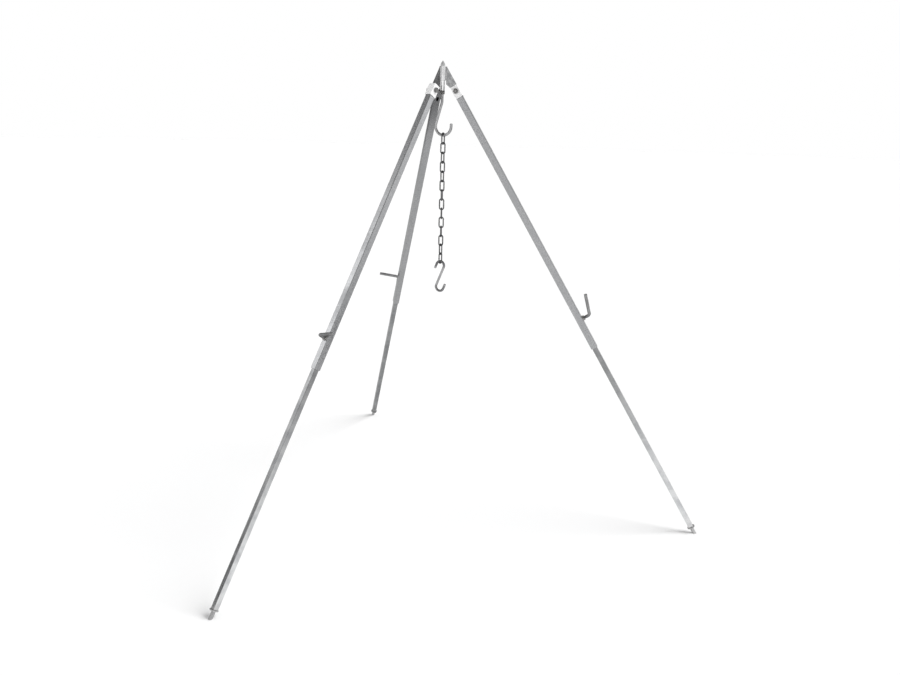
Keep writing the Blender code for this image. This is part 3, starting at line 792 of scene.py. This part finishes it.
# ----------------------------------------------------------------------- legs
def build_leg(side):
    m = LEG[side]
    half = UPPER_W / 2
    top, end = PIVOT_S - TUBE_TOP_S, PIVOT_S - UPPER_END_S
    tube = prism(rounded_square(UPPER_W, UPPER_CORNER, 6), end, top,
                 rounded_square(UPPER_W - 2 * UPPER_WALL, UPPER_CORNER - UPPER_WALL, 6))
    reach = half + 0.0001
    rim = [(reach * math.cos(math.radians(a)), reach * math.sin(math.radians(a)))
           for a in (10, 13, 16, 19, 22, 25, 28)]
    run_z = top + 0.004
    far_x = (reach - run_z * math.sin(math.radians(28))) / math.cos(math.radians(28))
    outline = [(half + 0.004, rim[0][1])] + rim + [(far_x, run_z), (half + 0.004, run_z)]
    slot = []
    straight = (SLOT_LEN - SLOT_W) / 2
    for k, sign in ((0, 1), (1, -1)):
        for i in range(13):
            a = math.radians(-90 + 180 * k + 15 * i)
            slot.append((SLOT_W / 2 * math.sin(a), sign * straight + SLOT_W / 2 * math.cos(a)))
    slot_z = PIVOT_S - SLOT_S
    clamp_z = PIVOT_S - CLAMP_S[side]
    hole = prism(circle(SCREW_R + GAP, 32), 0.002, 0.05, axis="x")
    bmesh.ops.translate(hole, vec=(0, 0, clamp_z), verts=hole.verts[:])
    tube = boolean(tube, [
        prism(circle(BOLT_R + GAP, 32), -0.06, 0.06, axis="y"),
        prism([(z, x) for x, z in outline], -0.03, 0.03, axis="y"),
        prism([(y, z + slot_z) for y, z in slot], -0.03, -0.004, axis="x"),
        hole])
    # the back leg takes the darker copy of the steel, which is painted shade
    leg = finish_piece("upper_leg_" + side, tube, "leg_" + side,
                       "galvanised_shaded_back" if side == "back" else "galvanised", m, 34,
                       bevel=0.00035, angle=50, replaces=("upper_tube_" + side,))
    # the bare inner faces are dull; their near-black colour is painted shade inside the tube
    leg.data.materials.append(MAT["inside"])
    wall = half - 0.7 * UPPER_WALL
    for face in leg.data.polygons:
        c, nrm = face.center, face.normal
        if (max(abs(c.x), abs(c.y)) < wall and abs(nrm.z) < 0.5
                and c.x * nrm.x + c.y * nrm.y < 0.0):
            face.material_index = 1

    at_clamp = m @ Matrix.Translation((0, 0, clamp_z))
    x0, x1 = half + GAP, half + GAP + CLAMP_NUT_T
    nut = hex_body(CLAMP_NUT_AF, x0, x1, SCREW_R + GAP, "x", chamfer_low=False)
    finish_piece("clamp_nut_body_" + side, nut, "leg_" + side, "nut", at_clamp, 28,
                 replaces=("clamp_nut_" + side,))
    corner = CLAMP_NUT_AF / math.sqrt(3)
    path = []
    for k in range(6):
        a0, a1 = math.radians(60 * k), math.radians(60 * (k + 1))
        for i in range(16):
            t = i / 16
            y = corner * (math.cos(a0) * (1 - t) + math.cos(a1) * t)
            z = corner * (math.sin(a0) * (1 - t) + math.sin(a1) * t)
            r = math.hypot(y, z)
            pull = 0.5 * (corner * 0.97 / r) + 0.5
            path.append(Vector((half + 0.0003, y * pull, z * pull)))
    weld = bead(path, 0.0015, Vector((1, 0, 0)), True, 0.09, 0.0029)
    finish_piece("nut_weld_" + side, weld, "leg_" + side, "bead", at_clamp, 60)

    build_clamp_screw(side, at_clamp)
    build_lower(side, m)


def build_clamp_screw(side, at_clamp):
    """Bar bent to a handle, threaded from its tip to short of the bend."""
    half = UPPER_W / 2
    tip_x = LOWER_W / 2 + GAP
    bend_x = half + SCREW_ARM
    turn, flare = math.radians(CLAMP_TURN[side]), math.radians(HANDLE_FLARE)
    out = Vector((1, 0, 0))
    along = (Vector((0, math.sin(turn), math.cos(turn))) * math.cos(flare)
             + out * math.sin(flare))
    corner = Vector((bend_x, 0, 0))
    core = SCREW_R - 0.00080
    thread_end = bend_x - 0.0140
    path = [Vector((tip_x, 0, 0)), Vector((tip_x + 0.0007, 0, 0)),
            Vector((thread_end - 0.0008, 0, 0)), Vector((thread_end, 0, 0)),
            Vector((bend_x - 0.0115, 0, 0))]
    radii = [core - 0.0006, core, core, SCREW_R, SCREW_R]
    bend = fillet(path[0], corner, corner + along, 0.0095, 14)
    # the outside of the bend is drawn slightly thinner
    radii += [SCREW_R * (1.0 - 0.035 * math.sin(math.pi * i / 14)) for i in range(15)]
    last = corner + along * HANDLE_LEN
    path += bend
    path += [last - along * 0.0014, last - along * 0.0005, last]
    radii += [SCREW_R, SCREW_R - 0.0004, SCREW_R - 0.0013]
    bm = sweep(path, radii, 24, normal=out.cross(along).normalized(), end="flat")
    thread(bm, tip_x + 0.0010, thread_end + 0.0006, core, SCREW_R, 0.00175, "x")
    finish_piece("clamp_handle_" + side, bm, "clamp_" + side, "handle", at_clamp, 40,
                 replaces=("clamp_screw_" + side,))


def build_lower(side, m):
    at = m @ Matrix.Translation((0, 0, PIVOT_S - LOWER_TOP_S))
    body = "lower_" + side
    length = LOWER_END_S - LOWER_TOP_S
    tube = prism(rounded_square(LOWER_W, LOWER_CORNER, 6), -length, 0,
                 rounded_square(LOWER_W - 2 * LOWER_WALL, LOWER_CORNER - LOWER_WALL, 6))
    # the back lower tube takes the darker copy, which is painted shade
    finish_piece("lower_leg_" + side, tube, body,
                 "lower_back" if side == "back" else "lower", at, 34, bevel=0.0003, angle=50,
                 replaces=("lower_tube_" + side,))
    low, high = -length - GAP - WASHER_T, -length - GAP
    c = 0.0007
    flange = lathe([(0, low), (WASHER_R - c, low), (WASHER_R, low + c), (WASHER_R, high - c),
                    (WASHER_R - c, high), (0, high)], 56)
    finish_piece("foot_washer_" + side, flange, body, "foot", at, 38,
                 replaces=("foot_flange_" + side,))
    # fillet weld round the tube on the washer
    outline = rounded_square(LOWER_W + 0.0004, LOWER_CORNER, 8)
    path = []
    for i in range(len(outline)):
        p, q = Vector((*outline[i], high)), Vector((*outline[(i + 1) % len(outline)], high))
        steps = max(1, int((q - p).length / 0.0008))
        path += [p.lerp(q, k / steps) for k in range(steps)]
    weld = bead(path, 0.0013, Vector((0, 0, 1)), True, 0.10, 0.0027, 8)
    finish_piece("foot_weld_" + side, weld, body, "bead", at, 60)

    top_z = low - GAP
    rings = []
    bm = bmesh.new()
    sides = 40
    for radius, kind in ((STUB_R, "top"), (STUB_R, "mid"), (STUB_R, "edge"),
                         (STUB_R - 0.0005, "ground")):
        ring = []
        for x, y in circle(radius, sides):
            ground = LOWER_TOP_S - LEG_LENGTH - x * math.tan(TILT)
            z = {"top": top_z, "mid": top_z - 0.004, "edge": ground + 0.0005,
                 "ground": ground}[kind]
            ring.append(bm.verts.new((x, y, z)))
        rings.append(ring)
    for a, b in zip(rings[:-1], rings[1:]):
        join_rings(bm, a, b)
    bm.faces.new(rings[0])
    bm.faces.new(rings[-1])
    finish_piece("foot_pin_" + side, bm, body, "foot", at, 38,
                 replaces=("foot_stub_" + side,))
    ring_path = [Vector((x, y, low)) for x, y in circle(STUB_R + 0.0002, 56)]
    weld = bead(ring_path, 0.0012, Vector((0, 0, 1)), True, 0.10, 0.0027, 8)
    finish_piece("pin_weld_" + side, weld, body, "bead", at, 60)


# ---------------------------------------------------------- hook, chain, S-hook
def build_hook():
    at = Matrix.Translation(HUB) @ Matrix.Rotation(math.radians(HOOK_AZIMUTH), 4, "Z")
    cx, cz = HOOK_CENTRE_X, HOOK_BOTTOM_Z + HOOK_BEND_R
    bowl = (arc(cx, cz, HOOK_BEND_R, 180 - HOOK_SLANT, 270, 26)[:-1]
            + arc(cx, cz, HOOK_BEND_R, 270, 360, 22))
    start_x, start_z = bowl[0]
    slant = math.radians(HOOK_SLANT)
    bend_z = start_z - start_x / math.tan(slant)
    shank_top = SLEEVE_TOP - 0.0010
    path = [Vector((0, 0, shank_top)), Vector((0, 0, (shank_top + bend_z) / 2))]
    path += fillet(path[0], (0, 0, bend_z), (start_x, 0, start_z), 0.020, 8)
    path += [Vector((x, 0, z)) for x, z in bowl]
    path += [Vector((cx + HOOK_BEND_R, 0, cz + HOOK_TIP_UP - 0.003)),
             Vector((cx + HOOK_BEND_R, 0, cz + HOOK_TIP_UP))]
    hook = sweep(path, HOOK_R, 32, normal=Vector((0, 1, 0)))
    finish_piece("hook_rod", hook, "hook", "rod", at, 40, replaces=("hanging_hook",))

    # pointed cap nut: chamfered hexagon under a rounded cone
    base = SLEEVE_TOP + GAP
    af = 0.0160
    sides = 48
    corner, flat = af / math.sqrt(3), af / 2

    def hex_radius(a):
        return flat / math.cos((a % (math.pi / 3)) - math.pi / 6)

    profile = [(0.0, 0.985, 1.0), (0.0006, 1.0, 1.0), (0.0046, 1.0, 1.0), (0.0056, 0.93, 0.75),
               (0.0068, 0.86, 0.45), (0.0085, 0.74, 0.15), (0.0105, 0.60, 0.0),
               (0.0130, 0.42, 0.0), (0.0150, 0.27, 0.0), (0.0162, 0.15, 0.0),
               (0.0167, 0.07, 0.0)]
    bm = bmesh.new()
    rings = []
    for z, k, hexness in profile:
        ring = []
        for i in range(sides):
            a = 2 * math.pi * i / sides
            r = k * (hexness * hex_radius(a) + (1 - hexness) * (corner + flat) / 2)
            r = min(r, k * corner)
            ring.append(bm.verts.new((r * math.cos(a), r * math.sin(a), base + z)))
        rings.append(ring)
    for a, b in zip(rings[:-1], rings[1:]):
        join_rings(bm, a, b)
    bm.faces.new(rings[0])
    tip = bm.verts.new((0, 0, base + 0.0168))
    join_rings(bm, rings[-1], [tip])
    finish_piece("cap_nut_body", bm, "hook", "cap", at, 24, replaces=("cap_nut",))

    washer_top = SLEEVE_BOTTOM - GAP
    c = 0.0004
    washer = closed_lathe([
        (0.0095, washer_top - 0.0020 + c), (0.0095, washer_top - c), (0.0095 - c, washer_top),
        (HOOK_R + GAP, washer_top), (HOOK_R + GAP, washer_top - 0.0020),
        (0.0095 - c, washer_top - 0.0020)], 48)
    finish_piece("washer_ring", washer, "hook", "nut", at, 38, replaces=("swivel_washer",))
    nut_top = washer_top - 0.0020 - GAP
    nut = hex_body(0.0170, nut_top - 0.0100, nut_top, HOOK_R + GAP)
    finish_piece("swivel_nut_body", nut, "hook", "nut", at, 28, replaces=("swivel_nut",))


def build_chain():
    crown_r = LINK_INNER_W / 2 + LINK_WIRE
    crowns = LINK_INNER_L + 2 * LINK_WIRE
    for number, yaw in enumerate(LINK_TURN, 1):
        joint = JOINT["link_%02d_swing" % number]
        hang = Vector(joint["pos_m"])
        rise = (HOOK_R if number == 1 else LINK_WIRE) + GAP + LINK_WIRE
        upper = arc(0, rise - crown_r, crown_r, 0, 180, 18)
        lower = arc(0, rise - crowns + crown_r, crown_r, 180, 360, 18)
        path, radii = [], []
        steps = 14
        left = [(-crown_r, upper[-1][1] + (lower[0][1] - upper[-1][1]) * i / steps)
                for i in range(1, steps)]
        right = [(crown_r, lower[-1][1] + (upper[0][1] - lower[-1][1]) * i / steps)
                 for i in range(1, steps)]
        middle = (upper[-1][1] + lower[0][1]) / 2
        for x, z in upper + left + lower + right:
            path.append(Vector((x, 0, z)))
            swell = 0.0
            if x < -crown_r + 1e-6:
                # butt weld in one long side, with its flash ground nearly flush
                swell = 0.11 * math.exp(-((z - middle) / 0.0017) ** 2)
            radii.append(LINK_WIRE * (1.0 + swell))
        at = Matrix.Translation(hang) @ Matrix.Rotation(math.radians(yaw), 4, "Z")
        link = sweep(path, radii, 20, closed=True, normal=Vector((0, 1, 0)))
        finish_piece("link_%02d_wire" % number, link, "link_%02d" % number, "chain", at, 60,
                     replaces=("chain_link_%02d" % number,))


def build_s_hook():
    half = S_SHANK / 2

    def centre_line(steps):
        up = arc(-S_BEND_R, half, S_BEND_R, 0, 180, steps)
        upper = up + [(-2 * S_BEND_R, half - S_ARM)]
        lower = [(-x, -z) for x, z in reversed(upper)]
        lean = Matrix.Rotation(math.radians(S_TILT), 3, "Y")
        return ([lean @ Vector((x, 0, z)) for x, z in lower + upper],
                lean @ Vector((-S_BEND_R, 0, half)))

    # the balance point is measured on the same line as the CAD's
    coarse, bend_centre = centre_line(14)
    length = sum((b - a).length for a, b in zip(coarse, coarse[1:]))
    balance = Vector((0, 0, 0))
    for a, b in zip(coarse, coarse[1:]):
        balance += (a + b) / 2 * ((b - a).length / length)
    ride = S_BEND_R - S_R - S_SEAT - LINK_WIRE
    shift = bend_centre.x - balance.x
    height = math.sqrt(max(0.0, ride * ride - shift * shift))
    hang = Vector((balance.x, 0, bend_centre.z + height))
    path = [p - hang for p in centre_line(36)[0]]
    at = (Matrix.Translation(Vector(JOINT["pot_hook_swing"]["pos_m"]))
          @ Matrix.Rotation(math.radians(S_AZIMUTH), 4, "Z"))
    bm = sweep(path, S_R, 28, normal=Vector((0, 1, 0)))
    finish_piece("pot_hook_wire", bm, "pot_hook", "s_hook", at, 40, replaces=("s_hook",))


build_head()
for which in SIDES:
    build_leg(which)
build_hook()
build_chain()
build_s_hook()


# ----------------------------------------------------- floor, light and camera
SUN_POWER, SUN_FROM = 2.5, (-25.0, 48.0)      # watts; azimuth, elevation it comes from
CEILING = 0.32
# azimuth, elevation, inner and outer radius in degrees, brightness
WORLD_AREAS = ((165.0, 6.0, 8.0, 13.5, 0.10),
               (153.5, 28.5, 4.5, 12.0, 2.40),
               (58.0, 13.0, 9.0, 18.0, 1.10),
               (107.0, 5.0, 10.0, 22.0, 0.40),
               (-12.0, 3.0, 7.0, 22.0, 1.50),
               (228.0, 4.0, 10.0, 40.0, 0.85),
               (209.0, 5.0, 5.0, 13.0, 1.90),
               (251.0, 4.0, 4.0, 10.0, 2.00))
# a greyer part of the floor that only the steel mirrors: x, y, inner and outer radius
FLOOR_PATCH = (3.0, -1.70, 0.6, 1.9, 0.34)


def build_floor():
    bm = bmesh.new()
    previous = None
    radii = [0.0, 0.5, 1.0, 1.6, 2.4, 3.5, 5.0, 8.0, 14.0, 30.0, 70.0]
    for r in radii:
        if r == 0.0:
            ring = [bm.verts.new((0, 0, -0.0002))]
        else:
            ring = [bm.verts.new((x, y - 0.27, -0.0002)) for x, y in circle(r, 64)]
        if previous is not None:
            join_rings(bm, previous, ring)
        previous = ring
    bmesh.ops.recalc_face_normals(bm, faces=bm.faces[:])
    mesh = bpy.data.meshes.new("studio_floor")
    bm.to_mesh(mesh)
    bm.free()
    floor = bpy.data.objects.new("studio_floor", mesh)
    bpy.context.scene.collection.objects.link(floor)
    mat = bpy.data.materials.new("studio_floor")
    mat.use_nodes = True
    bsdf = mat.node_tree.nodes["Principled BSDF"]
    bsdf.inputs["Base Color"].default_value = (0.90, 0.90, 0.90, 1.0)
    bsdf.inputs["Roughness"].default_value = 0.9
    bsdf.inputs["Specular IOR Level"].default_value = 0.1
    tree = mat.node_tree
    x, y, inner, outer, level = FLOOR_PATCH
    coord = tree.nodes.new("ShaderNodeTexCoord")
    away = tree.nodes.new("ShaderNodeVectorMath")
    away.operation = "DISTANCE"
    away.inputs[1].default_value = (x, y, -0.0002)
    tree.links.new(coord.outputs["Object"], away.inputs[0])
    edge = tree.nodes.new("ShaderNodeMapRange")
    edge.interpolation_type = "SMOOTHSTEP"
    for key, v in (("From Min", inner), ("From Max", outer), ("To Min", 1.0), ("To Max", 0.0)):
        edge.inputs[key].default_value = v
    tree.links.new(away.outputs["Value"], edge.inputs["Value"])
    path = tree.nodes.new("ShaderNodeLightPath")
    only = tree.nodes.new("ShaderNodeMath")
    only.operation = "MULTIPLY"
    tree.links.new(edge.outputs["Result"], only.inputs[0])
    tree.links.new(path.outputs["Is Glossy Ray"], only.inputs[1])
    mix = tree.nodes.new("ShaderNodeMix")
    mix.data_type = "RGBA"
    tree.links.new(only.outputs[0], mix.inputs["Factor"])
    mix.inputs[6].default_value = (0.90, 0.90, 0.90, 1.0)
    mix.inputs[7].default_value = (level, level, level, 1.0)
    tree.links.new(mix.outputs[2], bsdf.inputs["Base Color"])
    mesh.materials.append(mat)


def build_world():
    """Studio surroundings: white round the horizon, a grey ceiling, and soft
    bright and dark areas to the sides for the steel to mirror."""
    world = bpy.data.worlds.new("studio")
    bpy.context.scene.world = world
    world.use_nodes = True
    tree = world.node_tree
    back = tree.nodes["Background"]
    coord = tree.nodes.new("ShaderNodeTexCoord")
    ray = coord.outputs["Generated"]
    split = tree.nodes.new("ShaderNodeSeparateXYZ")
    tree.links.new(ray, split.inputs[0])
    ramp = tree.nodes.new("ShaderNodeValToRGB")
    tree.links.new(split.outputs[2], ramp.inputs["Fac"])
    elements = ramp.color_ramp.elements
    elements[0].position, elements[0].color = 0.0, (1.0, 1.0, 1.0, 1)
    elements[1].position, elements[1].color = 1.0, (0.70, 0.70, 0.71, 1)
    for position, value in ((0.30, 1.0), (0.56, CEILING), (0.85, CEILING + 0.1)):
        e = ramp.color_ramp.elements.new(position)
        e.color = (value, value, value, 1)
    value = ramp.outputs["Color"]
    for azimuth, elevation, inner, outer, level in WORLD_AREAS:
        a, e = math.radians(azimuth), math.radians(elevation)
        dot = tree.nodes.new("ShaderNodeVectorMath")
        dot.operation = "DOT_PRODUCT"
        dot.inputs[1].default_value = (math.cos(a) * math.cos(e), math.sin(a) * math.cos(e),
                                       math.sin(e))
        tree.links.new(ray, dot.inputs[0])
        edge = tree.nodes.new("ShaderNodeMapRange")
        edge.interpolation_type = "SMOOTHSTEP"
        edge.inputs["From Min"].default_value = math.cos(math.radians(outer))
        edge.inputs["From Max"].default_value = math.cos(math.radians(inner))
        tree.links.new(dot.outputs["Value"], edge.inputs["Value"])
        mix = tree.nodes.new("ShaderNodeMix")
        mix.data_type = "RGBA"
        tree.links.new(edge.outputs["Result"], mix.inputs["Factor"])
        tree.links.new(value, mix.inputs[6])
        mix.inputs[7].default_value = (level, level, level, 1.0)
        value = mix.outputs[2]
    # seen directly, the backdrop is plain white
    path = tree.nodes.new("ShaderNodeLightPath")
    plain = tree.nodes.new("ShaderNodeMix")
    plain.data_type = "RGBA"
    tree.links.new(path.outputs["Is Camera Ray"], plain.inputs["Factor"])
    tree.links.new(value, plain.inputs[6])
    plain.inputs[7].default_value = (1.0, 1.0, 1.0, 1.0)
    tree.links.new(plain.outputs[2], back.inputs["Color"])
    back.inputs["Strength"].default_value = 1.0


def build_lights():
    data = bpy.data.lights.new("soft_sun", "SUN")
    data.energy = SUN_POWER
    data.angle = math.radians(34)
    sun = bpy.data.objects.new("soft_sun", data)
    sun.visible_glossy = False      # no glare on the flat sides of the tubes
    bpy.context.scene.collection.objects.link(sun)
    a, e = math.radians(SUN_FROM[0]), math.radians(SUN_FROM[1])
    back = Vector((math.cos(a) * math.cos(e), math.sin(a) * math.cos(e), math.sin(e)))
    sun.rotation_euler = (-back).to_track_quat("-Z", "Y").to_euler()


def build_camera():
    focal, pitch, pan, roll, azimuth = 752.3, 15.50, 1.04, 1.55, -18.67
    th, psi, rho = math.radians(pitch), math.radians(pan), math.radians(roll)
    fwd = Vector((math.sin(psi) * math.cos(th), math.cos(psi) * math.cos(th), -math.sin(th)))
    right = Vector((math.cos(psi), -math.sin(psi), 0))
    up = right.cross(fwd)
    r2 = right * math.cos(rho) + up * math.sin(rho)
    u2 = -right * math.sin(rho) + up * math.cos(rho)
    turn = Matrix.Rotation(math.radians(azimuth), 3, "Z")
    place_at = turn @ Vector((0, -1.6513 * CROSSING_Z, 0.8752 * CROSSING_Z)) + HUB
    r2, u2, fwd = turn @ r2, turn @ u2, turn @ fwd
    m = Matrix((r2, u2, -fwd)).transposed().to_4x4()
    m.translation = place_at
    data = bpy.data.cameras.new("camera")
    data.sensor_width, data.sensor_fit = 36.0, "HORIZONTAL"
    data.lens = 36.0 * focal / 900.0
    data.clip_start, data.clip_end = 0.05, 200.0
    camera = bpy.data.objects.new("camera", data)
    bpy.context.scene.collection.objects.link(camera)
    camera.matrix_world = m
    bpy.context.scene.camera = camera


build_floor()
build_world()
build_lights()
build_camera()
view = bpy.context.scene.view_settings
view.view_transform = "Standard"
view.look = "None"
view.exposure = 0.0
view.gamma = 1.0

bpy.context.view_layer.update()
